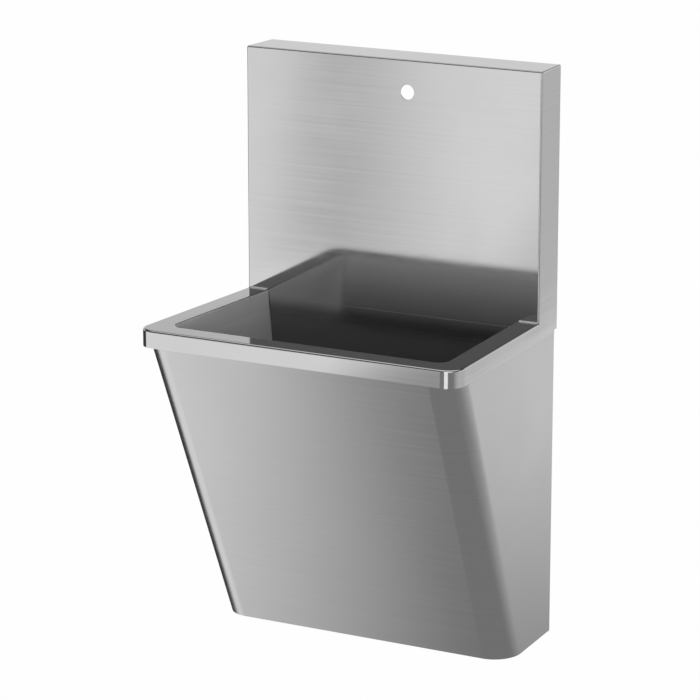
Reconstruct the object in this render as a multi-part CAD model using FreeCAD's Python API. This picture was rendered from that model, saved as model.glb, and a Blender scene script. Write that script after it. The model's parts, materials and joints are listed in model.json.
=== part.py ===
"""Wall-hung surgical scrub sink in brushed stainless steel sheet.

A deep tub hangs under a narrow rim. A tall boxed upstand stands behind it, and a sloping apron hides the
waste and its bottle trap. Units are millimetres. The origin is on the wall plane, at the middle of the four
wall-fixing holes and level with the rim's top. +X is the user's right, -Y the user's side, +Z up.
"""
import FreeCAD, Part
import math
import os

V = FreeCAD.Vector

# Overall sizes
WIDTH = 480.0                 # across the upstand's front
SPLAY_ANGLE = 3.0             # degrees, each side runs outwards from the wall to the front
DEPTH = 364.0                 # wall to the front of the rim
UPSTAND_HEIGHT = 365.0        # above the rim's top
UPSTAND_DEPTH = 68.0          # wall to the front of the upstand
APRON_BOTTOM = -486.0         # height of the apron's lower edge

# Sheet metal
SHEET = 1.5                   # tub, rim and upstand
APRON_SHEET = 1.2
FRAME_SHEET = 2.5             # rails, uprights, arms and cleats

# Rim
RIM_HEIGHT = 26.0
DECK_WIDTH = 35.0
RIM_CORNER = 25.0             # outer corner radius, seen from above
RIM_BEND = 3.0                # outer bend radius, deck to lip
MOUTH_BEND = 2.5              # outer bend radius, deck to tub
MOUTH_TURN = 10.0             # how far the rim turns down into the tub
WELD_FILLET = 2.0             # deck to upstand
HEEL_NOTCH_DEPTH = 9.0        # small relief at the wall end of the rim's side
HEEL_NOTCH_HEIGHT = 4.0

# Tub
TUB_CORNER = 17.0             # front corner radius, seen from above
TUB_SIDE_DRAFT = 4.0          # degrees
TUB_FRONT_SLOPE = 20.0        # degrees from upright
TUB_DEPTH_FRONT = 226.0       # the floor falls to the back
TUB_DEPTH_BACK = 234.0
TUB_FLOOR_RADIUS = 13.0

# Upstand
UPSTAND_BEND = 3.0            # upright front corners
UPSTAND_TOP_BEND = 2.0
TAP_HOLE_RADIUS = 11.0
TAP_HOLE_X = 26.0
TAP_HOLE_BELOW_TOP = 47.0
NOTCH_CLEARANCE = 0.5         # apron in the upstand's lower cut-out

# Apron
APRON_INSET = 4.0             # behind the rim's outer face, at the sides and the front
APRON_TUCK = 14.0             # stands this far up behind the rim's lip
APRON_TOE = 158.0             # wall to the apron's front at its lower edge
APRON_CORNER = 40.0           # bend radius of the front corners
APRON_FLANGE = 18.0           # bottom return
APRON_BACK_RETURN = 14.0      # wall-side returns

# Wall frame
FIXING_SPACING_X = 300.0
FIXING_SPACING_Z = 480.0
FIXING_HOLE_RADIUS = 4.5
UPRIGHT_BACK_FLANGE = 26.0
UPRIGHT_FRONT_FLANGE = 25.0
UPRIGHT_TOP_GAP = 10.0        # below the wall rail
RAIL_LENGTH = 400.0
RAIL_BELOW_HOLE = 15.0
RAIL_ABOVE_HOLE = 22.0
HOOK_RISE = 20.0              # height of the wall rail's lip
HOOK_STEP = 4.0               # gap between the lip and the wall rail's own plane
HOOK_GAP = 1.0                # play each side of the lip
HOOK_FRONT_DROP = 24.0        # front leg of the hook rail
HOOK_BACK_DROP = 14.0         # rear leg of the hook rail
ARM_REACH = 200.0             # wall to the tip of a support arm
ARM_ROOT_HEIGHT = 95.0
ARM_TIP_HEIGHT = 18.0
ARM_FLANGE = 22.0
ARM_RELIEF_RADIUS = 16.0

# Apron fixings
CLEAT_DEPTH = 40.0
CLEAT_OFF_WALL = 5.0
CLEAT_TURN = 24.0             # upturned end, against the upright
CLEAT_EDGE = 2.0              # short of the apron's side
SCREW_RADIUS = 2.5
SCREW_CLEARANCE = 0.3
SCREW_LENGTH = 10.0
SCREW_HEAD_RADIUS = 4.75
SCREW_HEAD_HEIGHT = 2.7
SCREW_SOCKET_RADIUS = 1.6
SCREW_SOCKET_DEPTH = 1.5
SCREW_FROM_WALL = 26.0

# Waste
WASTE_FROM_WALL = 128.0
RECESS_RADIUS = 39.0
RECESS_DROP = 4.7             # recess below the tub's floor
TUB_HOLE_RADIUS = 24.5
GASKET_THICKNESS = 2.0
FLANGE_RADIUS = 36.0
FLANGE_THICKNESS = 3.5
WASTE_TUBE_RADIUS = 23.8
WASTE_BORE_RADIUS = 20.5
WASTE_LENGTH = 54.0           # below the flange
THREAD_CLEARANCE = 0.3
SEAT_RADIUS = 30.0            # strainer's seat in the flange
SEAT_DEPTH = 1.5
SEAT_LEDGE = 4.0              # width of the seat's ring
THROAT_DROP = 6.0             # taper below the flange, down to the bore
FLANGE_CHAMFER = 1.0
LOCKNUT_HEIGHT = 10.0
LOCKNUT_ACROSS_FLATS = 62.0
LOWER_GASKET_RADIUS = 35.0
LOWER_GASKET_THICKNESS = 3.0
STRAINER_SHEET = 2.0
STRAINER_EDGE = 0.8           # chamfer
STRAINER_CLEARANCE = 0.4      # to the seat's wall
STRAINER_HOLE_RADIUS = 3.0
STRAINER_RING_STEP = 10.2     # between rings of holes
STRAINER_RINGS = 2            # rings of 6 holes more each, round a middle hole

# Bottle trap
PIPE_RADIUS = 20.0
PIPE_WALL = 2.0
SPIGOT_STEP = 0.5             # the outlet pipe's end inside the nut is this much smaller
SPIGOT_OUT = 2.0              # and it stands out of the nut this far
SOCKET_CLEARANCE = 0.4
NUT_WALL = 4.5
NUT_RIBS = 12
RIB_WIDTH = 4.0
RIB_RISE = 1.2
RIB_TAPER = 0.6               # tip width over root width
INLET_WASHER = 2.0
INLET_COLLAR = 3.0
INLET_NUT_GRIP = 18.0         # threaded over the waste
NUT_LEDGE = 3.0
NECK_WALL = 4.6
NECK_LENGTH = 20.0
NECK_BELOW_WASTE = 28.0       # waste's end to the trap's neck
NUT_OVER_NECK = 12.0
SEAL_HEIGHT = 7.0
SEAL_LIP = 2.5                # width of a seal's thin end
SEAL_INSET = 0.4              # seals and washers stop short of the edges they lie on
BOTTLE_RADIUS = 31.0
BOTTLE_WALL = 2.6
SHOULDER = 8.0
DIP_BELOW_BOTTLE = 12.0       # inlet tube's end below the bottle
OUTLET_BELOW_SHOULDER = 28.0
BRANCH_LENGTH = 28.0          # beyond the bottle's wall
PIPE_IN_BRANCH = 18.0
CUP_OVERLAP = 16.0            # cup's skirt over the bottle
CUP_BELOW_BRANCH = 3.0
CUP_SEAL = 2.5
CUP_DEPTH = 36.0
CUP_WALL = 3.0
CUP_BOTTOM_RADIUS = 10.0
CUP_FLARE = 3.0               # taper under the skirt
CUP_CLEARANCE = 0.4

# Values that follow from the sizes above
HALF = WIDTH / 2
MOUTH_FRONT = -(DEPTH - DECK_WIDTH)
UP_FRONT = -UPSTAND_DEPTH
SPLAY = math.radians(SPLAY_ANGLE)
APRON_KNEE = -RIM_HEIGHT - 1.0           # where the apron's upright edge meets its slope
APRON_FRONT = -(DEPTH - APRON_INSET)
APRON_SLOPE = math.atan2(-APRON_TOE - APRON_FRONT, APRON_KNEE - APRON_BOTTOM)
FIX_X = FIXING_SPACING_X / 2
FIX_Z = FIXING_SPACING_Z / 2
WEB_X = FIX_X - UPRIGHT_BACK_FLANGE / 2  # inner face of an upright's web
WASTE_Y = -WASTE_FROM_WALL
SLOPE = math.radians(TUB_FRONT_SLOPE)
DRAFT = math.radians(TUB_SIDE_DRAFT)


def half_at(y, inset=0.0):
    """Half the sink's width at y, between side faces moved in by an inset."""
    return HALF + (UP_FRONT - y) * math.tan(SPLAY) - inset / math.cos(SPLAY)


def tub_front(depth, thickness):
    """Y of the tub's front wall at a depth, inside it or at a thickness outside it."""
    return MOUTH_FRONT + depth * math.tan(SLOPE) - thickness / math.cos(SLOPE)


def tub_floor(y, thickness):
    """Height of the tub's floor at y, inside it or at a thickness below it."""
    back = UP_FRONT + thickness
    front = tub_front(TUB_DEPTH_FRONT + thickness, thickness)
    fall = (TUB_DEPTH_BACK - TUB_DEPTH_FRONT) / (back - front)
    return -TUB_DEPTH_BACK - thickness + fall * (back - y)


RECESS_EDGES = [tub_floor(WASTE_Y + side, 0.0) for side in (-RECESS_RADIUS, RECESS_RADIUS)]
RECESS_FLOOR = min(RECESS_EDGES) - RECESS_DROP
FLANGE_BASE = RECESS_FLOOR + GASKET_THICKNESS
WASTE_END = FLANGE_BASE - WASTE_LENGTH
RAIL_BOTTOM = FIX_Z - RAIL_BELOW_HOLE
RAIL_KNEE = FIX_Z + RAIL_ABOVE_HOLE
LIP_TOP = RAIL_KNEE + HOOK_RISE
CLEAT_BASE = APRON_BOTTOM + APRON_SHEET
SOCKET_RADIUS = PIPE_RADIUS + SOCKET_CLEARANCE
NECK_RADIUS = SOCKET_RADIUS + NECK_WALL
NECK_TOP = WASTE_END - NECK_BELOW_WASTE
BOTTLE_TOP = NECK_TOP - NECK_LENGTH
OUTLET_Z = BOTTLE_TOP - OUTLET_BELOW_SHOULDER
BOTTLE_END = OUTLET_Z - NECK_RADIUS - CUP_BELOW_BRANCH - CUP_OVERLAP
BRANCH_END = WASTE_Y + BOTTLE_RADIUS + BRANCH_LENGTH


# Helpers

def block(x0, x1, y0, y1, z0, z1):
    """Box between two corners."""
    return Part.makeBox(x1 - x0, y1 - y0, z1 - z0, V(x0, y0, z0))


def rod(radius, base, length, axis=V(0, 0, 1)):
    """Cylinder from a base point along an axis."""
    return Part.makeCylinder(radius, length, base, axis)


def prism(points, direction):
    """Straight extrusion of a flat outline."""
    wire = Part.makePolygon(points + points[:1])
    return Part.Face(wire).extrude(direction)


def turned(profile, x, y, z=0.0):
    """Solid of revolution about an upright axis, from (radius, height) points."""
    points = [V(r, 0, h) for r, h in profile]
    face = Part.Face(Part.makePolygon(points + points[:1]))
    solid = face.revolve(V(0, 0, 0), V(0, 0, 1), 360)
    solid.translate(V(x, y, z))
    return solid


def mirrored(shape):
    """The same piece on the other side of the sink."""
    return shape.mirror(V(0, 0, 0), V(1, 0, 0))


def edges_where(shape, test):
    """Edges whose two ends and middle all pass a test."""
    found = []
    for edge in shape.Edges:
        ends = [v.Point for v in edge.Vertexes]
        middle = edge.valueAt((edge.FirstParameter + edge.LastParameter) / 2)
        if all(test(p) for p in ends + [middle]):
            found.append(edge)
    return found


def near(a, b, tolerance=0.01):
    return abs(a - b) < tolerance


def plan(front, back, inset, z0, z1, radius=0.0):
    """Upright block between the splayed sides, square at the back and rounded at its front corners."""
    points = [V(-half_at(back, inset), back, z0), V(-half_at(front, inset), front, z0),
              V(half_at(front, inset), front, z0), V(half_at(back, inset), back, z0)]
    body = prism(points, V(0, 0, z1 - z0))
    if not radius:
        return body
    corners = edges_where(body, lambda p: near(p.y, front) and near(abs(p.x), half_at(front, inset)))
    return body.makeFillet(radius, corners)


def trimmed_sides(shape, inset, draft=0.0, top=0.0):
    """Cuts a shape off at the splayed side planes, moved in by an inset and leaning in below the top."""
    reach = 2 * (WIDTH + DEPTH)
    slab = Part.makeBox(2 * reach, 2 * reach, reach, V(-reach, -reach, 0))
    level = V(math.cos(SPLAY), math.sin(SPLAY), 0)
    normal = level * math.cos(draft) - V(0, 0, 1) * math.sin(draft)
    start = V(HALF, UP_FRONT, top) - level * (inset / math.cos(draft))
    move = FreeCAD.Placement(start, FreeCAD.Rotation(V(0, 0, 1), normal))
    right = slab.transformed(move.toMatrix())
    return shape.cut([right, mirrored(right)])


# Tub, rim and upstand

def tub_form(thickness):
    """The tub's cavity, or with a thickness its outer form, from the rim's top down."""
    back = UP_FRONT + thickness
    depth_back = TUB_DEPTH_BACK + thickness
    depth_front = TUB_DEPTH_FRONT + thickness

    from_side = prism([V(-WIDTH, back, 0), V(-WIDTH, tub_front(0, thickness), 0),
                       V(-WIDTH, tub_front(depth_front, thickness), -depth_front),
                       V(-WIDTH, back, -depth_back)], V(2 * WIDTH, 0, 0))
    form = trimmed_sides(from_side, DECK_WIDTH * math.cos(DRAFT) - thickness, DRAFT)
    highest_floor = -min(depth_front, depth_back)
    front_corners = [e for e in form.Edges if e.BoundBox.ZMax > -1 and e.BoundBox.ZMin < highest_floor + 1
                     and e.CenterOfMass.y < back - 1]
    form = form.makeFillet(TUB_CORNER + thickness, front_corners)
    floor_edges = [e for e in form.Edges if e.BoundBox.ZMax < highest_floor + 0.5]
    return form.makeFillet(TUB_FLOOR_RADIUS + thickness, floor_edges)


def recess(thickness):
    """Round pressing in the tub's floor that takes the waste flange."""
    base = V(0, WASTE_Y, RECESS_FLOOR - thickness)
    height = max(RECESS_EDGES) - RECESS_FLOOR + thickness
    return rod(RECESS_RADIUS + thickness, base, height)


def tub():
    wall = tub_form(SHEET).fuse(recess(SHEET)).cut(tub_form(0.0)).cut(recess(0.0))
    hole = rod(TUB_HOLE_RADIUS, V(0, WASTE_Y, RECESS_FLOOR - 2 * SHEET), 4 * SHEET)
    above = block(-WIDTH, WIDTH, -DEPTH, 0, -MOUTH_TURN, 1)
    return wall.cut(hole).cut(above)


def rim():
    outer = plan(-DEPTH, UP_FRONT, 0.0, -RIM_HEIGHT, 0, RIM_CORNER)
    top = edges_where(outer, lambda p: near(p.z, 0))
    outer = outer.makeFillet(RIM_BEND, [e for e in top if not near(e.CenterOfMass.y, UP_FRONT)])
    inner = plan(-DEPTH + SHEET, UP_FRONT, SHEET, -RIM_HEIGHT, -SHEET, RIM_CORNER - SHEET)
    under = edges_where(inner, lambda p: near(p.z, -SHEET))
    inner = inner.makeFillet(RIM_BEND - SHEET, [e for e in under if not near(e.CenterOfMass.y, UP_FRONT)])
    turn_down = tub_form(SHEET).common(block(-WIDTH, WIDTH, -DEPTH, UP_FRONT, -MOUTH_TURN, 0))
    shell = outer.cut(inner).fuse(turn_down).cut(tub_form(0.0)).removeSplitter()
    mouth = edges_where(shell, lambda p: near(p.z, 0) and abs(p.x) < half_at(p.y, DECK_WIDTH) + 0.1
                        and p.y > MOUTH_FRONT - 0.1)
    shell = shell.makeFillet(MOUTH_BEND, [e for e in mouth if not near(e.CenterOfMass.y, UP_FRONT)])
    return shell.fuse(weld_fillets()).removeSplitter()


def weld_fillets():
    """Concave fillets where the deck's two ends meet the upstand."""
    foot = V(0, UP_FRONT, 0)
    front = V(0, UP_FRONT - WELD_FILLET, 0)
    top = V(0, UP_FRONT, WELD_FILLET)
    k = WELD_FILLET * (1 - math.sqrt(0.5))
    hollow = Part.Arc(front, V(0, UP_FRONT - k, k), top).toShape()
    outline = Part.Wire([Part.makeLine(foot, front), hollow, Part.makeLine(top, foot)])
    start = half_at(UP_FRONT, DECK_WIDTH) + MOUTH_BEND
    fillet = Part.Face(outline).extrude(V(HALF - RIM_BEND - start, 0, 0))
    fillet.translate(V(start, 0, 0))
    return [fillet, mirrored(fillet)]


def upstand():
    body = plan(UP_FRONT, 0, 0.0, 0, UPSTAND_HEIGHT, UPSTAND_BEND)
    top = edges_where(body, lambda p: near(p.z, UPSTAND_HEIGHT))
    body = body.makeFillet(UPSTAND_TOP_BEND, [e for e in top if not near(e.CenterOfMass.y, 0)])
    heel = plan(UP_FRONT, 0, 0.0, -RIM_HEIGHT, 0)
    hollow = plan(UP_FRONT + SHEET, 1, SHEET, -RIM_HEIGHT, UPSTAND_HEIGHT - SHEET, UPSTAND_BEND - SHEET)
    cut_half = half_at(UP_FRONT, APRON_INSET) + NOTCH_CLEARANCE
    cut_out = block(-cut_half, cut_half, UP_FRONT - 1, UP_FRONT + 2 * SHEET, -RIM_HEIGHT, -MOUTH_TURN)
    tap_hole = rod(TAP_HOLE_RADIUS, V(TAP_HOLE_X, UP_FRONT - 1, UPSTAND_HEIGHT - TAP_HOLE_BELOW_TOP),
                   SHEET + 2, V(0, 1, 0))
    heel_notch = block(-HALF, HALF, -HEEL_NOTCH_DEPTH, 1, -RIM_HEIGHT, -RIM_HEIGHT + HEEL_NOTCH_HEIGHT)
    return body.fuse(heel).removeSplitter().cut(hollow).cut(cut_out).cut(tap_hole).cut(heel_notch)


# Apron and its fixings

def apron_form(thickness):
    """Outer form of the apron, or with a thickness the space inside it."""
    inset = APRON_INSET + thickness
    shift = thickness / math.cos(APRON_SLOPE)
    slope = prism([V(-WIDTH, 0, APRON_KNEE), V(-WIDTH, APRON_FRONT + shift, APRON_KNEE),
                   V(-WIDTH, -APRON_TOE + shift, APRON_BOTTOM), V(-WIDTH, 0, APRON_BOTTOM)],
                  V(2 * WIDTH, 0, 0))
    slope = trimmed_sides(slope, inset)
    corners = edges_where(slope, lambda p: near(abs(p.x), half_at(p.y, inset)) and p.y < -APRON_TOE / 2)
    slope = slope.makeFillet(APRON_CORNER - thickness,
                             [e for e in corners if e.Length > (APRON_KNEE - APRON_BOTTOM)])
    top = [f for f in slope.Faces if near(f.CenterOfMass.z, APRON_KNEE)][0]
    return slope.fuse(top.extrude(V(0, 0, APRON_TUCK))).removeSplitter()


def apron():
    outer = apron_form(0.0)
    shell = outer.cut(apron_form(APRON_SHEET))
    bottom = outer.common(block(-WIDTH, WIDTH, -DEPTH, 0, APRON_BOTTOM, APRON_BOTTOM + APRON_SHEET))
    gap = plan(-APRON_TOE + APRON_FLANGE, 1, APRON_INSET + APRON_FLANGE, APRON_BOTTOM,
               APRON_BOTTOM + 2 * APRON_SHEET, APRON_CORNER - APRON_FLANGE)
    back = outer.common(block(half_at(0, APRON_INSET) - APRON_BACK_RETURN, WIDTH, -APRON_SHEET, 0,
                              APRON_BOTTOM, APRON_KNEE))
    shell = shell.fuse([bottom.cut(gap), back, mirrored(back)]).removeSplitter()
    for x in (-screw_x(), screw_x()):
        shell = shell.cut(rod(SCREW_RADIUS + SCREW_CLEARANCE, V(x, -SCREW_FROM_WALL, APRON_BOTTOM - 1), 4))
    return shell


def screw_x():
    """The apron's screws stand in the middle of its side flanges."""
    return half_at(-SCREW_FROM_WALL, APRON_INSET) - APRON_FLANGE / 2


def apron_screws():
    def screw(x):
        low = APRON_BOTTOM - SCREW_HEAD_HEIGHT
        crown = SCREW_HEAD_RADIUS / 2
        return turned([(0, low + SCREW_SOCKET_DEPTH), (SCREW_SOCKET_RADIUS, low + SCREW_SOCKET_DEPTH),
                       (SCREW_SOCKET_RADIUS, low), (crown, low),
                       (SCREW_HEAD_RADIUS, low + SCREW_HEAD_HEIGHT / 2),
                       (SCREW_HEAD_RADIUS, APRON_BOTTOM), (SCREW_RADIUS, APRON_BOTTOM),
                       (SCREW_RADIUS, APRON_BOTTOM + SCREW_LENGTH), (0, APRON_BOTTOM + SCREW_LENGTH)],
                      x, -SCREW_FROM_WALL)

    return Part.makeCompound([screw(-screw_x()), screw(screw_x())])


def apron_cleat():
    """Right-hand cleat: a plate over the apron's flange, turned up against the upright's web."""
    y0 = -CLEAT_OFF_WALL - CLEAT_DEPTH
    y1 = -CLEAT_OFF_WALL
    x0 = WEB_X + FRAME_SHEET
    x1 = half_at(y1, APRON_INSET + APRON_SHEET) - CLEAT_EDGE
    plate = block(x0, x1, y0, y1, CLEAT_BASE, CLEAT_BASE + FRAME_SHEET)
    turn = block(x0, x0 + FRAME_SHEET, y0, y1, CLEAT_BASE, CLEAT_BASE + CLEAT_TURN)
    foot = V(screw_x(), -SCREW_FROM_WALL, CLEAT_BASE - 1)
    hole = rod(SCREW_RADIUS + SCREW_CLEARANCE, foot, FRAME_SHEET + 2)
    return plate.fuse(turn).removeSplitter().cut(hole)


# Wall frame

def upright():
    """Right-hand Z-section upright from the apron's foot to just under the wall rail."""
    top = RAIL_BOTTOM - UPRIGHT_TOP_GAP
    t = FRAME_SHEET
    front = UP_FRONT + SHEET
    bottom = CLEAT_BASE
    section = [V(WEB_X, 0, bottom), V(WEB_X + UPRIGHT_BACK_FLANGE, 0, bottom),
               V(WEB_X + UPRIGHT_BACK_FLANGE, -t, bottom), V(WEB_X + t, -t, bottom),
               V(WEB_X + t, front, bottom), V(WEB_X + t - UPRIGHT_FRONT_FLANGE, front, bottom),
               V(WEB_X + t - UPRIGHT_FRONT_FLANGE, front + t, bottom), V(WEB_X, front + t, bottom)]
    bar = prism(section, V(0, 0, top - bottom))
    return bar.cut(rod(FIXING_HOLE_RADIUS, V(FIX_X, -t - 1, -FIX_Z), t + 2, V(0, 1, 0)))


def wall_rail():
    """Z-section rail that is screwed to the wall first. The sink's hook rail hangs on its lip."""
    t = FRAME_SHEET
    lip = -t - HOOK_STEP
    half = RAIL_LENGTH / 2
    section = [V(-half, 0, RAIL_BOTTOM), V(-half, -t, RAIL_BOTTOM), V(-half, -t, RAIL_KNEE - t),
               V(-half, lip - t, RAIL_KNEE - t), V(-half, lip - t, LIP_TOP), V(-half, lip, LIP_TOP),
               V(-half, lip, RAIL_KNEE), V(-half, 0, RAIL_KNEE)]
    rail = prism(section, V(RAIL_LENGTH, 0, 0))
    for x in (-FIX_X, FIX_X):
        rail = rail.cut(rod(FIXING_HOLE_RADIUS, V(x, -t - 1, FIX_Z), t + 2, V(0, 1, 0)))
    return rail


def hook_rail():
    """Inverted channel across the upstand, over the wall rail's lip."""
    t = FRAME_SHEET
    rear = -t - HOOK_STEP + HOOK_GAP
    front = -2 * t - HOOK_STEP - HOOK_GAP
    top = LIP_TOP + t
    section = [V(-HALF, rear + t, top), V(-HALF, rear + t, top - HOOK_BACK_DROP),
               V(-HALF, rear, top - HOOK_BACK_DROP), V(-HALF, rear, LIP_TOP),
               V(-HALF, front, LIP_TOP), V(-HALF, front, top - HOOK_FRONT_DROP),
               V(-HALF, front - t, top - HOOK_FRONT_DROP), V(-HALF, front - t, top)]
    return trimmed_sides(prism(section, V(WIDTH, 0, 0)), SHEET)


def support_arm():
    """Right-hand gusset under the tub's floor, on the front flange of the upright."""
    t = FRAME_SHEET

    def under_floor(y):
        return tub_floor(y, SHEET)

    root = UP_FRONT - TUB_FLOOR_RADIUS - SHEET
    heel = UP_FRONT + SHEET
    tip = -ARM_REACH
    x = WEB_X - t
    foot = under_floor(root) - ARM_ROOT_HEIGHT
    plate = prism([V(x, heel, under_floor(heel) - TUB_FLOOR_RADIUS), V(x, root, under_floor(root)),
                   V(x, tip, under_floor(tip)), V(x, tip, under_floor(tip) - ARM_TIP_HEIGHT),
                   V(x, heel, foot)], V(t, 0, 0))
    flange = prism([V(x, root, under_floor(root)), V(x, tip, under_floor(tip)),
                    V(x, tip, under_floor(tip) - t), V(x, root, under_floor(root) - t)],
                   V(-ARM_FLANGE, 0, 0))
    relief_y = root - ARM_RELIEF_RADIUS
    along = (heel - relief_y) / (heel - tip)
    lower = foot + along * (under_floor(tip) - ARM_TIP_HEIGHT - foot)
    relief_z = (under_floor(relief_y) + lower) / 2
    relief = rod(ARM_RELIEF_RADIUS, V(x - t, relief_y, relief_z), 3 * t, V(1, 0, 0))
    return plate.fuse(flange).removeSplitter().cut(relief)


# Waste

def waste_body():
    flange_top = FLANGE_BASE + FLANGE_THICKNESS
    return turned([(WASTE_BORE_RADIUS, WASTE_END), (WASTE_TUBE_RADIUS, WASTE_END),
                   (WASTE_TUBE_RADIUS, FLANGE_BASE), (FLANGE_RADIUS, FLANGE_BASE),
                   (FLANGE_RADIUS, flange_top - FLANGE_CHAMFER),
                   (FLANGE_RADIUS - 2 * FLANGE_CHAMFER, flange_top),
                   (SEAT_RADIUS, flange_top), (SEAT_RADIUS, flange_top - SEAT_DEPTH),
                   (SEAT_RADIUS - SEAT_LEDGE, flange_top - SEAT_DEPTH),
                   (WASTE_BORE_RADIUS, FLANGE_BASE - THROAT_DROP)], 0, WASTE_Y)


def ring(inner, outer, z0, z1):
    """Flat ring about the waste's axis."""
    return turned([(inner, z0), (outer, z0), (outer, z1), (inner, z1)], 0, WASTE_Y)


def strainer():
    """Perforated plate that lies loose in the flange's seat."""
    seat = FLANGE_BASE + FLANGE_THICKNESS - SEAT_DEPTH
    edge = SEAT_RADIUS - STRAINER_CLEARANCE
    top = seat + STRAINER_SHEET
    plate = turned([(0, seat), (edge, seat), (edge, top - STRAINER_EDGE),
                    (edge - STRAINER_EDGE, top), (0, top)], 0, WASTE_Y)
    holes = []
    for ring_number in range(STRAINER_RINGS + 1):
        count = max(1, 6 * ring_number)
        ring_radius = ring_number * STRAINER_RING_STEP
        for i in range(count):
            a = 2 * math.pi * i / count
            centre = V(ring_radius * math.cos(a), WASTE_Y + ring_radius * math.sin(a), seat - 1)
            holes.append(rod(STRAINER_HOLE_RADIUS, centre, STRAINER_SHEET + 2))
    return plate.cut(holes)


def locknut():
    top = RECESS_FLOOR - SHEET - LOWER_GASKET_THICKNESS
    corner = LOCKNUT_ACROSS_FLATS / 2 / math.cos(math.pi / 6)
    points = [V(corner * math.cos(math.pi * i / 3), WASTE_Y + corner * math.sin(math.pi * i / 3),
                top - LOCKNUT_HEIGHT) for i in range(6)]
    nut = prism(points, V(0, 0, LOCKNUT_HEIGHT))
    below = V(0, WASTE_Y, top - 2 * LOCKNUT_HEIGHT)
    bore = rod(WASTE_TUBE_RADIUS + THREAD_CLEARANCE, below, 3 * LOCKNUT_HEIGHT)
    return nut.cut(bore)


# Bottle trap

def ribbed(body, radius, base, length, axis):
    """Grip ribs along the outside of a nut or cup."""
    side = V(1, 0, 0)
    other = axis.cross(side)
    ribs = []
    for i in range(NUT_RIBS):
        a = 2 * math.pi * (i + 0.5) / NUT_RIBS
        out = side * math.cos(a) + other * math.sin(a)
        along = out.cross(axis) * (RIB_WIDTH / 2)
        root = base + out * (radius - RIB_RISE)
        tip = base + out * (radius + RIB_RISE)
        ribs.append(prism([root - along, tip - along * RIB_TAPER, tip + along * RIB_TAPER, root + along],
                          axis * length))
    return body.fuse(ribs).removeSplitter()


def inlet_nut():
    """Union nut that pulls the inlet tube's collar up against the waste."""
    grip = WASTE_TUBE_RADIUS + THREAD_CLEARANCE
    collar_base = WASTE_END - INLET_WASHER - INLET_COLLAR
    outer = grip + NUT_WALL
    base = collar_base - NUT_LEDGE
    top = WASTE_END + INLET_NUT_GRIP
    body = turned([(SOCKET_RADIUS, base), (outer, base), (outer, top), (grip, top), (grip, collar_base),
                   (SOCKET_RADIUS, collar_base)], 0, WASTE_Y)
    return ribbed(body, outer, V(0, WASTE_Y, base), top - base, V(0, 0, 1))


def inlet_tube():
    """Collared tube that dips below the outlet to make the water seal."""
    collar_top = WASTE_END - INLET_WASHER
    collar_base = collar_top - INLET_COLLAR
    end = BOTTLE_END - DIP_BELOW_BOTTLE
    bore = PIPE_RADIUS - PIPE_WALL
    return turned([(bore, end), (PIPE_RADIUS, end), (PIPE_RADIUS, collar_base),
                   (WASTE_TUBE_RADIUS, collar_base), (WASTE_TUBE_RADIUS, collar_top),
                   (bore, collar_top)], 0, WASTE_Y)


def compression_nut():
    """Nut about an upright axis, its mouth at height 0 and its ledge above it."""
    grip = NECK_RADIUS + THREAD_CLEARANCE
    outer = grip + NUT_WALL
    low = -NUT_OVER_NECK
    high = SEAL_HEIGHT
    body = turned([(grip, low), (outer, low), (outer, high + NUT_LEDGE), (SOCKET_RADIUS, high + NUT_LEDGE),
                   (SOCKET_RADIUS, high), (grip, high)], 0, 0)
    return ribbed(body, outer, V(0, 0, low), high + NUT_LEDGE - low, V(0, 0, 1))


def compression_seal(tube_radius):
    """Tapered seal between a neck's mouth and its nut's ledge, round a tube."""
    wide = NECK_RADIUS - SEAL_INSET
    inner = tube_radius + SOCKET_CLEARANCE
    return turned([(inner, 0), (wide, 0), (wide, SEAL_HEIGHT / 2), (inner + SEAL_LIP, SEAL_HEIGHT),
                   (inner, SEAL_HEIGHT)], 0, 0)


def on_neck(shape):
    """Moves a nut or seal from its own axis to the trap's neck."""
    shape.translate(V(0, WASTE_Y, NECK_TOP))
    return shape


def on_branch(shape):
    """Turns a nut or seal to the trap's outlet branch."""
    shape.rotate(V(0, 0, 0), V(1, 0, 0), -90)
    shape.translate(V(0, BRANCH_END, OUTLET_Z))
    return shape


def trap_body():
    hollow = BOTTLE_RADIUS - BOTTLE_WALL
    outside = turned([(0, BOTTLE_END), (BOTTLE_RADIUS, BOTTLE_END), (BOTTLE_RADIUS, BOTTLE_TOP - SHOULDER),
                      (NECK_RADIUS, BOTTLE_TOP), (NECK_RADIUS, NECK_TOP), (0, NECK_TOP)], 0, WASTE_Y)
    branch = rod(NECK_RADIUS, V(0, WASTE_Y, OUTLET_Z), BRANCH_END - WASTE_Y, V(0, 1, 0))
    inside = turned([(0, BOTTLE_END - 1), (hollow, BOTTLE_END - 1), (hollow, BOTTLE_TOP - SHOULDER),
                     (SOCKET_RADIUS, BOTTLE_TOP - BOTTLE_WALL), (SOCKET_RADIUS, NECK_TOP + 1),
                     (0, NECK_TOP + 1)], 0, WASTE_Y)
    socket = rod(SOCKET_RADIUS, V(0, WASTE_Y, OUTLET_Z), BRANCH_END - WASTE_Y + 1, V(0, 1, 0))
    return outside.fuse(branch).cut(inside).cut(socket).removeSplitter()


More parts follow.
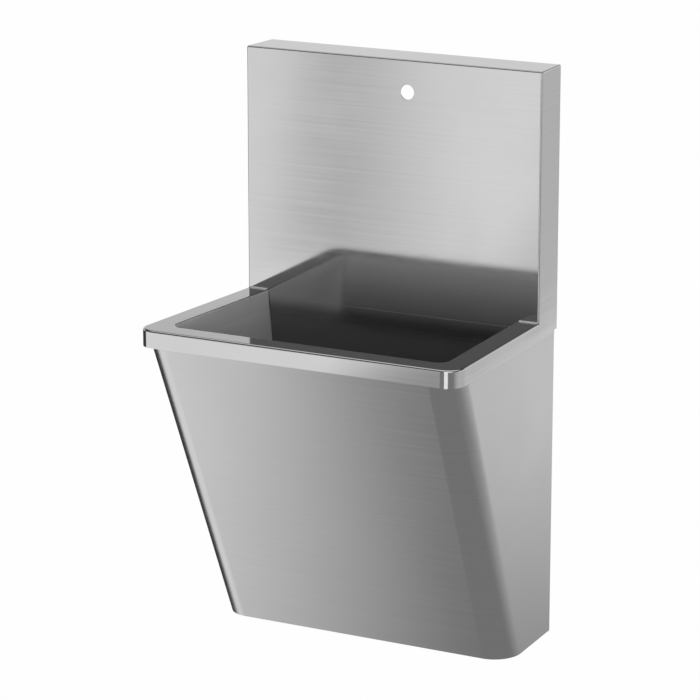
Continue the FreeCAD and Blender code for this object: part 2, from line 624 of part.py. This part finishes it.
def trap_cup():
    """Cleaning cup, screwed up over the bottle's lower end."""
    skirt = BOTTLE_RADIUS + CUP_CLEARANCE
    outer = skirt + CUP_WALL
    shelf = BOTTLE_END - CUP_SEAL
    top = BOTTLE_END + CUP_OVERLAP
    hollow = BOTTLE_RADIUS - BOTTLE_WALL
    body_radius = hollow + CUP_WALL
    floor = shelf - CUP_DEPTH
    r = CUP_BOTTOM_RADIUS
    base = floor - CUP_WALL
    body = turned([(0, base), (body_radius - r, base), (body_radius, base + r),
                   (body_radius, shelf - CUP_WALL), (outer, shelf - CUP_WALL + CUP_FLARE),
                   (outer, top), (skirt, top), (skirt, shelf), (hollow, shelf), (hollow, floor + r),
                   (hollow - r, floor), (0, floor)], 0, WASTE_Y)
    return ribbed(body, outer, V(0, WASTE_Y, shelf), top - shelf, V(0, 0, 1))


def outlet_pipe():
    """Waste pipe to the wall. Its end inside the nut and branch is a little smaller."""
    start = BRANCH_END - PIPE_IN_BRANCH
    free = BRANCH_END + SEAL_HEIGHT + NUT_LEDGE + SPIGOT_OUT
    spigot = rod(PIPE_RADIUS - SPIGOT_STEP, V(0, start, OUTLET_Z), free - start, V(0, 1, 0))
    pipe = rod(PIPE_RADIUS, V(0, free, OUTLET_Z), -free, V(0, 1, 0))
    bore = rod(PIPE_RADIUS - PIPE_WALL, V(0, start - 1, OUTLET_Z), 2 - start, V(0, 1, 0))
    return spigot.fuse(pipe).cut(bore)


def pieces():
    """Every piece by its node name."""
    made = {
        "rim": rim(),
        "tub": tub(),
        "upstand": upstand(),
        "apron": apron(),
        "apron_screws": apron_screws(),
        "wall_rail": wall_rail(),
        "hook_rail": hook_rail(),
        "strainer": strainer(),
        "waste_body": waste_body(),
        "waste_upper_gasket": ring(TUB_HOLE_RADIUS + SEAL_INSET, FLANGE_RADIUS - SEAL_INSET,
                                   RECESS_FLOOR, FLANGE_BASE),
        "waste_lower_gasket": ring(TUB_HOLE_RADIUS + SEAL_INSET, LOWER_GASKET_RADIUS,
                                   RECESS_FLOOR - SHEET - LOWER_GASKET_THICKNESS, RECESS_FLOOR - SHEET),
        "waste_locknut": locknut(),
        "trap_inlet_washer": ring(WASTE_BORE_RADIUS + SEAL_INSET, WASTE_TUBE_RADIUS - SEAL_INSET,
                                  WASTE_END - INLET_WASHER, WASTE_END),
        "trap_inlet_nut": inlet_nut(),
        "trap_inlet_tube": inlet_tube(),
        "trap_neck_nut": on_neck(compression_nut()),
        "trap_neck_seal": on_neck(compression_seal(PIPE_RADIUS)),
        "trap_body": trap_body(),
        "trap_cup": trap_cup(),
        "trap_cup_seal": ring(BOTTLE_RADIUS - BOTTLE_WALL + SEAL_INSET, BOTTLE_RADIUS - SEAL_INSET,
                              BOTTLE_END - CUP_SEAL, BOTTLE_END),
        "trap_outlet_nut": on_branch(compression_nut()),
        "trap_outlet_seal": on_branch(compression_seal(PIPE_RADIUS - SPIGOT_STEP)),
        "outlet_pipe": outlet_pipe(),
    }
    pairs = {"upright": upright(), "support_arm": support_arm(), "apron_cleat": apron_cleat()}
    for name, shape in pairs.items():
        made[name + "_right"] = shape
        made[name + "_left"] = mirrored(shape)
    return made


os.makedirs("parts", exist_ok=True)
for node, solid in pieces().items():
    solid.exportStep(os.path.join("parts", node + ".step"))
    print(f"{node}: {len(solid.Solids)} solid(s), valid {solid.isValid()}, {solid.Volume / 1000:.1f} cm3")
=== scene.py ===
"""Brushed stainless scrub sink: materials, studio light and the photograph's camera."""
import bpy
import json
import math
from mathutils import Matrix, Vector


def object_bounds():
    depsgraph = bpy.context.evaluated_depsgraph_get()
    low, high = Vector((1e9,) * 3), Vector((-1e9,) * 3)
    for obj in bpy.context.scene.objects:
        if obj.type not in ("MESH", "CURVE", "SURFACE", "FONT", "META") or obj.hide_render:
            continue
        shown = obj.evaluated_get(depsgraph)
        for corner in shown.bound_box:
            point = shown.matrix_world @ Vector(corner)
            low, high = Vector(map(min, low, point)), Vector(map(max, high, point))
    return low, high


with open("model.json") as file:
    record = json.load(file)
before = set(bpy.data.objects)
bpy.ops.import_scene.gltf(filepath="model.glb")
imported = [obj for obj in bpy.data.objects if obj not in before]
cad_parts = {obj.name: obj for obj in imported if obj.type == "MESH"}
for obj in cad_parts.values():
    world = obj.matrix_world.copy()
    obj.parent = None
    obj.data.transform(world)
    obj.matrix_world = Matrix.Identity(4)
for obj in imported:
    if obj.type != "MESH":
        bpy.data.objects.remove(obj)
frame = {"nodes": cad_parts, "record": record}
cad_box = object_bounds()

# The part's frame, in metres: X to the right, Y into the wall, Z up from the deck
X_AXIS = (1, 0, 0)
Y_AXIS = (0, 1, 0)
Z_AXIS = (0, 0, 1)

# Camera, metres and degrees, fitted to the photograph's edges
CAMERA_PLACE = (2.1779, -4.2694, 1.1706)
CAMERA_YAW = 28.12
CAMERA_PITCH = 14.67
CAMERA_LENS = 171.09
CAMERA_SENSOR = 36.0
CAMERA_REACH = 100

# Noise and edges that all finishes share
NOISE_DETAIL = 4.0
NOISE_ROUGHNESS = 0.6
NOISE_SPAN = (0.3, 0.7)       # nearly all noise lies in this span
BEVEL_SAMPLES = 4

# Brushed steel. Pairs of lines are counts per metre along and across the brush
STEEL = (0.64, 0.64, 0.64)
SHEET_ROUGHNESS = (0.06, 0.1)
APRON_ROUGHNESS = (0.2, 0.27)
SHEET_GRAIN = 0.000004
FRAME_COLOUR = (0.52, 0.52, 0.52)
FRAME_ROUGHNESS = (0.38, 0.5)
FRAME_GRAIN = 0.00004
FRAME_ANISOTROPY = 0.2
ALONG_LINES = 0.25            # turns the anisotropy into the brush's direction
FINE_LINES = (6, 1500)
COARSE_LINES = (2.5, 260)
COARSE_DETAIL = 2.0
LINE_SHADE = (0.965, 1.03)
LINE_BUMP = 0.35
SMUDGES = 7
SMUDGE_DETAIL = 3.0
SMUDGE_ROUGHNESS = (-0.02, 0.03)
STEEL_EDGE = 0.0006
LEVEL_FACE = 0.7              # a face whose normal is steeper than this has the lines of a level one

# The bowl's finish is rougher than the sheet around it, and painted shade makes it darker
BOWL_SPLAY = (0, 0.0524, 0)   # the bowl is wider in front
BOWL_SIDES = (0.216, 0.212)
BOWL_FRONT = (-0.335, -0.331)
BOWL_DEPTH = (0.0003, -0.0012)
BOWL_BACK = (-0.0705, -0.069)
BOWL_BACK_DEPTH = (0.0, -0.08)    # on the rear wall the roughness grows slowly with depth
BOWL_BACK_SHADE = (0.0, -0.035)   # and so does the painted shade
BOWL_ROUGHNESS = 0.5
# painted shade: the bowl's colour is darkened to this share
BOWL_PAINTED_SHADE = 0.42

# Its side and front walls are rougher again, and painted light makes them lighter
WALL_FACING = (0.4, 0.85)
WALL_ROUGHNESS = 0.4
# painted light: the side and front walls are lightened by this factor
WALL_PAINTED_LIGHT = 3.45
FRONT_DEPTH = (-0.1, 0.0)
FRONT_DEEP = 0.15             # what is left of that deep down on the front wall

# Polished fittings
FITTING_COLOUR = (0.78, 0.78, 0.77)
SCREW_COLOUR = (0.6, 0.6, 0.6)
WATER_MARKS = 120
WATER_MARK_DETAIL = 5.0
WATER_MARK_ROUGHNESS = (0.1, 0.24)
POLISH_MARKS = 900
POLISH_BUMP = 0.1
POLISH_DEPTH = 0.00005
FITTING_EDGE = 0.0004

# Rubber and plastic: dark and light colour, roughness, grains per metre, grain depth
RUBBER = ((0.012, 0.012, 0.012), (0.03, 0.03, 0.03), (0.6, 0.8), 700, 0.0001)
PLASTIC = ((0.72, 0.72, 0.70), (0.80, 0.80, 0.78), (0.35, 0.5), 900, 0.00006)
MOTTLES = 40
MOTTLE_SPAN = (0.35, 0.65)
MOULD_BUMP = 0.4
MOULD_EDGE = 0.0005

# Floor, as the camera sees it
FLOOR_DROP = 0.53             # below the part's lowest edge, so that the lowered apron stays clear of it
FLOOR_SIZE = 30.0
FLOOR_COLOUR = (0.86, 0.86, 0.86, 1)
FLOOR_ROUGHNESS = 0.9
OWN_WHITE = 0.985             # share of the floor that is plain white to the camera, the rest is lit

# Floor, as the metal shows it: painted reflection, with painted shade and white that only the metal's
# reflections show. Ramps are distances from the origin
FLOOR_SHADE = 0.25            # painted shade in front of the sink
LEFT_AXIS = (1, -0.3, 0)      # it turns white to the left
LEFT_RAMP = (0.03, -0.6)
EDGE_AXIS = (1, -0.608, 0)    # the edge of that shade, which the apron shows before its bend
EDGE_RAMP = (0.13, -0.23)
EDGE_END = (-1.5, -2.0)
LIP_RAMP = (-1.52, -1.7)      # painted shade to the right of what the front lip shows
LIP_DARK = 0.36
LIP_END = (-3.75, -4.1)
LIP_START = (-2.6, -2.2)
RIGHT_AXIS = (0.8, 0.6, 0)    # white again behind to the right
RIGHT_RAMP = (0.9, 3.2)
RIGHT_FADE = (1.45, 1.5)      # and less so beyond what the apron's side shows
RIGHT_FAR = 0.62
CORNER_AXIS = (-0.3, 1, 0)    # painted shade behind to the left
CORNER_RAMP = (-0.1, 0.5)
CORNER_SIDE = (0.6, -0.4)
CORNER_DARK = 0.05
BAND_AXIS = (1, -0.529, 0)    # a softly darker painted streak far in front, which the upstand shows
BAND_LEFT = (-0.1, -0.46)
BAND_RIGHT = (-0.2, 0.45)
BAND_START = (-4.4, -3.85)
BAND_LEVEL = 0.6

# World: parts of a direction's unit vector
FRONT_DARK = 0.27             # the unlit front of the studio
BACK_WHITE = 1.0
FRONT_TO_BACK = (-0.15, 0.35)
BACK_FADE = (0.65, -0.05)     # the white behind fades out upwards
TOP_LIGHT = 0.85
TOP_RAMP = (0.6, 0.95)

# Lamps: name, place, target, size, watts
LAMPS = (
    ("strip_front", (0.8, -2.7, -0.45), (0.2, -0.3, 0), (1.0, 0.9), 2.6),
    ("softbox_front", (1.35, -2.7, 0.36), (-0.2, -0.07, 0), (2.6, 0.9), 11),
)


def node(tree, kind, inputs=None, **settings):
    """A shader node with its settings and constant inputs."""
    made = tree.nodes.new(kind)
    for name, value in settings.items():
        setattr(made, name, value)
    for name, value in (inputs or {}).items():
        made.inputs[name].default_value = value
    return made


def maths(tree, operation, *values):
    """Sum, product or the like of sockets and numbers."""
    made = node(tree, "ShaderNodeMath", operation=operation)
    for socket, value in zip(made.inputs, values):
        if isinstance(value, (int, float)):
            socket.default_value = value
        else:
            tree.links.new(value, socket)
    return made.outputs[0]


def ramp(tree, value, start, end, low=0.0, high=1.0, way="SMOOTHSTEP"):
    """Step of a value from low at its start to high at its end."""
    if start > end:
        start, end, low, high = end, start, high, low
    limits = {"From Min": start, "From Max": end, "To Min": low, "To Max": high}
    step = node(tree, "ShaderNodeMapRange", limits, interpolation_type=way)
    tree.links.new(value, step.inputs["Value"])
    return step.outputs["Result"]


def along(tree, vector, axis):
    """Distance along an axis."""
    product = node(tree, "ShaderNodeVectorMath", operation="DOT_PRODUCT")
    product.inputs[1].default_value = axis
    tree.links.new(vector, product.inputs[0])
    return product.outputs["Value"]


def mix_values(tree, factor, a, b):
    """Value a where the factor is 0, and b where it is 1."""
    mixed = node(tree, "ShaderNodeMix", data_type="FLOAT")
    tree.links.new(factor, mixed.inputs["Factor"])
    tree.links.new(a, mixed.inputs["A"])
    tree.links.new(b, mixed.inputs["B"])
    return mixed.outputs["Result"]


def part_place(tree):
    """Place on the piece, in the part's frame."""
    return node(tree, "ShaderNodeTexCoord").outputs["Object"]


def noise(tree, scale, detail=NOISE_DETAIL):
    """Noise with a count of grains per metre along each axis."""
    mapping = node(tree, "ShaderNodeMapping", {"Scale": scale})
    tree.links.new(part_place(tree), mapping.inputs["Vector"])
    settings = {"Scale": 1.0, "Detail": detail, "Roughness": NOISE_ROUGHNESS}
    texture = node(tree, "ShaderNodeTexNoise", settings)
    tree.links.new(mapping.outputs["Vector"], texture.inputs["Vector"])
    return texture.outputs["Fac"]


def spread(tree, value, low, high):
    """Noise mapped from its usual span to a new one."""
    return ramp(tree, value, *NOISE_SPAN, low, high, "LINEAR")


def new_material(name):
    """A material, its node tree and its shader."""
    material = bpy.data.materials.new(name)
    material.use_nodes = True
    tree = material.node_tree
    return material, tree, tree.nodes["Principled BSDF"]


def bump_surface(tree, shader, height, strength, depth, edge_radius):
    """Fine relief on a surface with softened edges."""
    edge = node(tree, "ShaderNodeBevel", {"Radius": edge_radius}, samples=BEVEL_SAMPLES)
    bump = node(tree, "ShaderNodeBump", {"Strength": strength, "Distance": depth})
    tree.links.new(height, bump.inputs["Height"])
    tree.links.new(edge.outputs["Normal"], bump.inputs["Normal"])
    tree.links.new(bump.outputs["Normal"], shader.inputs["Normal"])


def facing_up(tree):
    """1 on level faces and 0 on upright ones."""
    normal = node(tree, "ShaderNodeNewGeometry").outputs["True Normal"]
    steepness = maths(tree, "ABSOLUTE", along(tree, normal, Z_AXIS))
    return maths(tree, "GREATER_THAN", steepness, LEVEL_FACE)


def brush_lines(tree, up, lines, detail=NOISE_DETAIL):
    """Brush lines: level ones on upright faces, and along X on level faces."""
    length, width = lines
    upright = noise(tree, (length, length, width), detail)
    level = noise(tree, (length, width, length), detail)
    return mix_values(tree, up, upright, level)


def in_bowl(tree, back_depth):
    """1 inside the bowl and 0 on the sheet around it."""
    place = part_place(tree)
    across = maths(tree, "ABSOLUTE", along(tree, place, X_AXIS))
    sides = ramp(tree, maths(tree, "ADD", across, along(tree, place, BOWL_SPLAY)), *BOWL_SIDES)
    front = ramp(tree, along(tree, place, Y_AXIS), *BOWL_FRONT)
    back = ramp(tree, along(tree, place, Y_AXIS), *BOWL_BACK)
    height = along(tree, place, Z_AXIS)
    depth = mix_values(tree, back, ramp(tree, height, *BOWL_DEPTH), ramp(tree, height, *back_depth))
    return maths(tree, "MULTIPLY", depth, maths(tree, "MULTIPLY", sides, front))


def side_walls(tree):
    """1 on faces that look left or right, and on the front wall, where it fades with depth."""
    normal = node(tree, "ShaderNodeNewGeometry").outputs["Normal"]
    sides = ramp(tree, maths(tree, "ABSOLUTE", along(tree, normal, X_AXIS)), *WALL_FACING)
    front = ramp(tree, along(tree, normal, Y_AXIS), *WALL_FACING)
    height = along(tree, part_place(tree), Z_AXIS)
    depth = ramp(tree, height, *FRONT_DEPTH, FRONT_DEEP, 1, "LINEAR")
    return maths(tree, "MAXIMUM", sides, maths(tree, "MULTIPLY", front, depth))


def brushed_steel(name, colour, rough_span, grain, anisotropy=0.0, bowl=False):
    """Sheet with brush lines and faint smudges, and with the bowl's rougher finish, painted shade and painted
    light on its walls where it has the bowl.
    """
    material, tree, shader = new_material(name)
    shader.inputs["Metallic"].default_value = 1.0
    if anisotropy:
        shader.inputs["Anisotropic"].default_value = anisotropy
        shader.inputs["Anisotropic Rotation"].default_value = ALONG_LINES
        tangent = node(tree, "ShaderNodeTangent", direction_type="RADIAL", axis="Z")
        tree.links.new(tangent.outputs["Tangent"], shader.inputs["Tangent"])

    up = facing_up(tree)
    fine = brush_lines(tree, up, FINE_LINES)
    coarse = brush_lines(tree, up, COARSE_LINES, COARSE_DETAIL)
    lines = maths(tree, "MULTIPLY", maths(tree, "ADD", fine, coarse), 0.5)
    smudge = noise(tree, (SMUDGES,) * 3, SMUDGE_DETAIL)
    cloudy = spread(tree, smudge, *SMUDGE_ROUGHNESS)
    roughness = maths(tree, "ADD", spread(tree, lines, *rough_span), cloudy)
    shade = spread(tree, lines, *LINE_SHADE)
    if bowl:
        inside = in_bowl(tree, BOWL_BACK_DEPTH)
        shaded = in_bowl(tree, BOWL_BACK_SHADE)
        walls = maths(tree, "MULTIPLY", inside, side_walls(tree))
        roughness = maths(tree, "ADD", roughness, ramp(tree, inside, 0, 1, 0, BOWL_ROUGHNESS))
        roughness = maths(tree, "ADD", roughness, ramp(tree, walls, 0, 1, 0, WALL_ROUGHNESS))
        # painted shade darkens the bowl, most of all on the rear wall below the deck
        shade = maths(tree, "MULTIPLY", shade, ramp(tree, shaded, 0, 1, 1, BOWL_PAINTED_SHADE))
        # painted light lightens the side walls, and the front wall less deep down
        shade = maths(tree, "MULTIPLY", shade, ramp(tree, walls, 0, 1, 1, WALL_PAINTED_LIGHT))
    tree.links.new(roughness, shader.inputs["Roughness"])

    whole = {"Factor": 1.0, "A": (*colour, 1)}
    tint = node(tree, "ShaderNodeMix", whole, data_type="RGBA", blend_type="MULTIPLY")
    tree.links.new(shade, tint.inputs["B"])
    tree.links.new(tint.outputs["Result"], shader.inputs["Base Color"])
    bump_surface(tree, shader, coarse, LINE_BUMP, grain, STEEL_EDGE)
    return material


def polished_steel(name, colour):
    """Turned and polished fitting with faint water marks."""
    material, tree, shader = new_material(name)
    shader.inputs["Metallic"].default_value = 1.0
    shader.inputs["Base Color"].default_value = (*colour, 1)
    marks = noise(tree, (WATER_MARKS,) * 3, WATER_MARK_DETAIL)
    tree.links.new(spread(tree, marks, *WATER_MARK_ROUGHNESS), shader.inputs["Roughness"])
    bump_surface(tree, shader, noise(tree, (POLISH_MARKS,) * 3), POLISH_BUMP, POLISH_DEPTH, FITTING_EDGE)
    return material


def moulded(name, dark, light, rough_span, grains, grain_depth):
    """Moulded plastic or rubber: slight mottling and a fine surface grain."""
    material, tree, shader = new_material(name)
    mottle = noise(tree, (MOTTLES,) * 3)
    colours = node(tree, "ShaderNodeValToRGB")
    for stop, position, colour in zip(colours.color_ramp.elements, MOTTLE_SPAN, (dark, light)):
        stop.position = position
        stop.color = (*colour, 1)
    tree.links.new(mottle, colours.inputs["Fac"])
    tree.links.new(colours.outputs["Color"], shader.inputs["Base Color"])
    tree.links.new(spread(tree, mottle, *rough_span), shader.inputs["Roughness"])
    bump_surface(tree, shader, noise(tree, (grains,) * 3), MOULD_BUMP, grain_depth, MOULD_EDGE)
    return material


def dress():
    """Gives each CAD node the material of its slot."""
    finishes = {
        "sheet_steel": brushed_steel("brushed_sheet", STEEL, SHEET_ROUGHNESS, SHEET_GRAIN, bowl=True),
        "apron_steel": brushed_steel("brushed_apron", STEEL, APRON_ROUGHNESS, SHEET_GRAIN),
        "frame_steel": brushed_steel("frame_sheet", FRAME_COLOUR, FRAME_ROUGHNESS, FRAME_GRAIN,
                                     FRAME_ANISOTROPY),
        "polished_steel": polished_steel("polished_fitting", FITTING_COLOUR),
        "seal_rubber": moulded("seal_rubber", *RUBBER),
        "trap_plastic": moulded("trap_plastic", *PLASTIC),
        "screw_steel": polished_steel("screw_steel", SCREW_COLOUR),
    }
    for part in frame["record"]["subparts"]:
        mesh = frame["nodes"][part["node"]].data
        mesh.materials.clear()
        mesh.materials.append(finishes[part["material_slot"]])


def floor_painted_reflection(tree):
    """Painted reflection on the floor as metal shows it: white to the left and behind to the right, with
    painted shade in front of the sink.
    """
    place = node(tree, "ShaderNodeNewGeometry").outputs["Position"]
    sideways = along(tree, place, X_AXIS)
    backwards = along(tree, place, Y_AXIS)

    left = ramp(tree, along(tree, place, LEFT_AXIS), *LEFT_RAMP, FLOOR_SHADE, 1, "LINEAR")
    edge = ramp(tree, along(tree, place, EDGE_AXIS), *EDGE_RAMP, FLOOR_SHADE, 1, "LINEAR")
    edge = maths(tree, "MAXIMUM", edge, ramp(tree, backwards, *EDGE_END))
    left = maths(tree, "MINIMUM", left, edge)
    lip = ramp(tree, sideways, *LIP_RAMP, LIP_DARK, 1)
    lip = maths(tree, "MAXIMUM", lip, ramp(tree, backwards, *LIP_END))
    lip = maths(tree, "MAXIMUM", lip, ramp(tree, backwards, *LIP_START))
    left = maths(tree, "MINIMUM", left, lip)

    right = ramp(tree, along(tree, place, RIGHT_AXIS), *RIGHT_RAMP, FLOOR_SHADE, 1, "LINEAR")
    right = maths(tree, "MULTIPLY", right, ramp(tree, sideways, *RIGHT_FADE, 1, RIGHT_FAR))

    across = along(tree, place, BAND_AXIS)
    band = maths(tree, "MAXIMUM", ramp(tree, across, *BAND_LEFT, BAND_LEVEL, 1),
                 ramp(tree, across, *BAND_RIGHT, BAND_LEVEL, 1))
    band = maths(tree, "MAXIMUM", band, ramp(tree, backwards, *BAND_START, BAND_LEVEL, 1))

    corner = maths(tree, "MULTIPLY", ramp(tree, along(tree, place, CORNER_AXIS), *CORNER_RAMP),
                   ramp(tree, sideways, *CORNER_SIDE))
    corner = ramp(tree, corner, 0, 1, 1, CORNER_DARK)
    white = maths(tree, "MAXIMUM", left, right)
    return maths(tree, "MULTIPLY", white, maths(tree, "MULTIPLY", band, corner))


def floor_material():
    """Plain white to the camera, apart from the sink's shadow, and graded with painted reflection and painted
    shade where metal shows it.
    """
    material, tree, shader = new_material("floor_white")
    shader.inputs["Base Color"].default_value = FLOOR_COLOUR
    shader.inputs["Roughness"].default_value = FLOOR_ROUGHNESS
    path = node(tree, "ShaderNodeLightPath")
    camera_ray = path.outputs["Is Camera Ray"]
    shine = node(tree, "ShaderNodeEmission")
    # painted reflection: glossy rays see the floor's graded glow, while camera rays see white
    tree.links.new(maths(tree, "MAXIMUM", floor_painted_reflection(tree), camera_ray), shine.inputs["Strength"])
    seen = maths(tree, "MAXIMUM", camera_ray, path.outputs["Is Glossy Ray"])
    blend = node(tree, "ShaderNodeMixShader")
    tree.links.new(maths(tree, "MULTIPLY", seen, OWN_WHITE), blend.inputs[0])
    tree.links.new(shader.outputs[0], blend.inputs[1])
    tree.links.new(shine.outputs[0], blend.inputs[2])
    tree.links.new(blend.outputs[0], tree.nodes["Material Output"].inputs["Surface"])
    return material


def studio():
    """Pale floor, white behind the sink, dark in front and light from above."""
    bpy.ops.mesh.primitive_plane_add(size=FLOOR_SIZE, location=(0, 0, cad_box[0][2] - FLOOR_DROP))
    floor = bpy.context.object
    floor.name = "floor"
    floor.data.materials.append(floor_material())

    world = bpy.data.worlds.new("studio")
    bpy.context.scene.world = world
    world.use_nodes = True
    tree = world.node_tree
    background = tree.nodes["Background"]
    background.inputs["Color"].default_value = (1, 1, 1, 1)
    direction = node(tree, "ShaderNodeTexCoord").outputs["Generated"]
    height = along(tree, direction, Z_AXIS)
    behind = ramp(tree, along(tree, direction, Y_AXIS), *FRONT_TO_BACK, FRONT_DARK, BACK_WHITE)
    behind = maths(tree, "MULTIPLY", behind, ramp(tree, height, *BACK_FADE))
    level = maths(tree, "MAXIMUM", behind, ramp(tree, height, *TOP_RAMP, 0, TOP_LIGHT))
    camera_ray = node(tree, "ShaderNodeLightPath").outputs["Is Camera Ray"]
    tree.links.new(maths(tree, "MAXIMUM", level, camera_ray), background.inputs["Strength"])


def lamp(name, place, target, size, power):
    """Rectangular lamp that faces its target."""
    data = bpy.data.lights.new(name, "AREA")
    data.shape = "RECTANGLE"
    data.size, data.size_y = size
    data.energy = power
    made = bpy.data.objects.new(name, data)
    made.location = place
    made.rotation_euler = (Vector(target) - Vector(place)).to_track_quat("-Z", "Y").to_euler()
    bpy.context.scene.collection.objects.link(made)


def camera():
    """The photograph's camera."""
    data = bpy.data.cameras.new("camera")
    data.sensor_width = CAMERA_SENSOR
    data.lens = CAMERA_LENS
    data.clip_end = CAMERA_REACH
    made = bpy.data.objects.new("camera", data)
    made.location = CAMERA_PLACE
    made.rotation_euler = (math.radians(90 - CAMERA_PITCH), 0, math.radians(CAMERA_YAW))
    bpy.context.scene.collection.objects.link(made)
    bpy.context.scene.camera = made


dress()
studio()
for settings in LAMPS:
    lamp(*settings)
camera()
bpy.context.scene.view_settings.view_transform = "Standard"
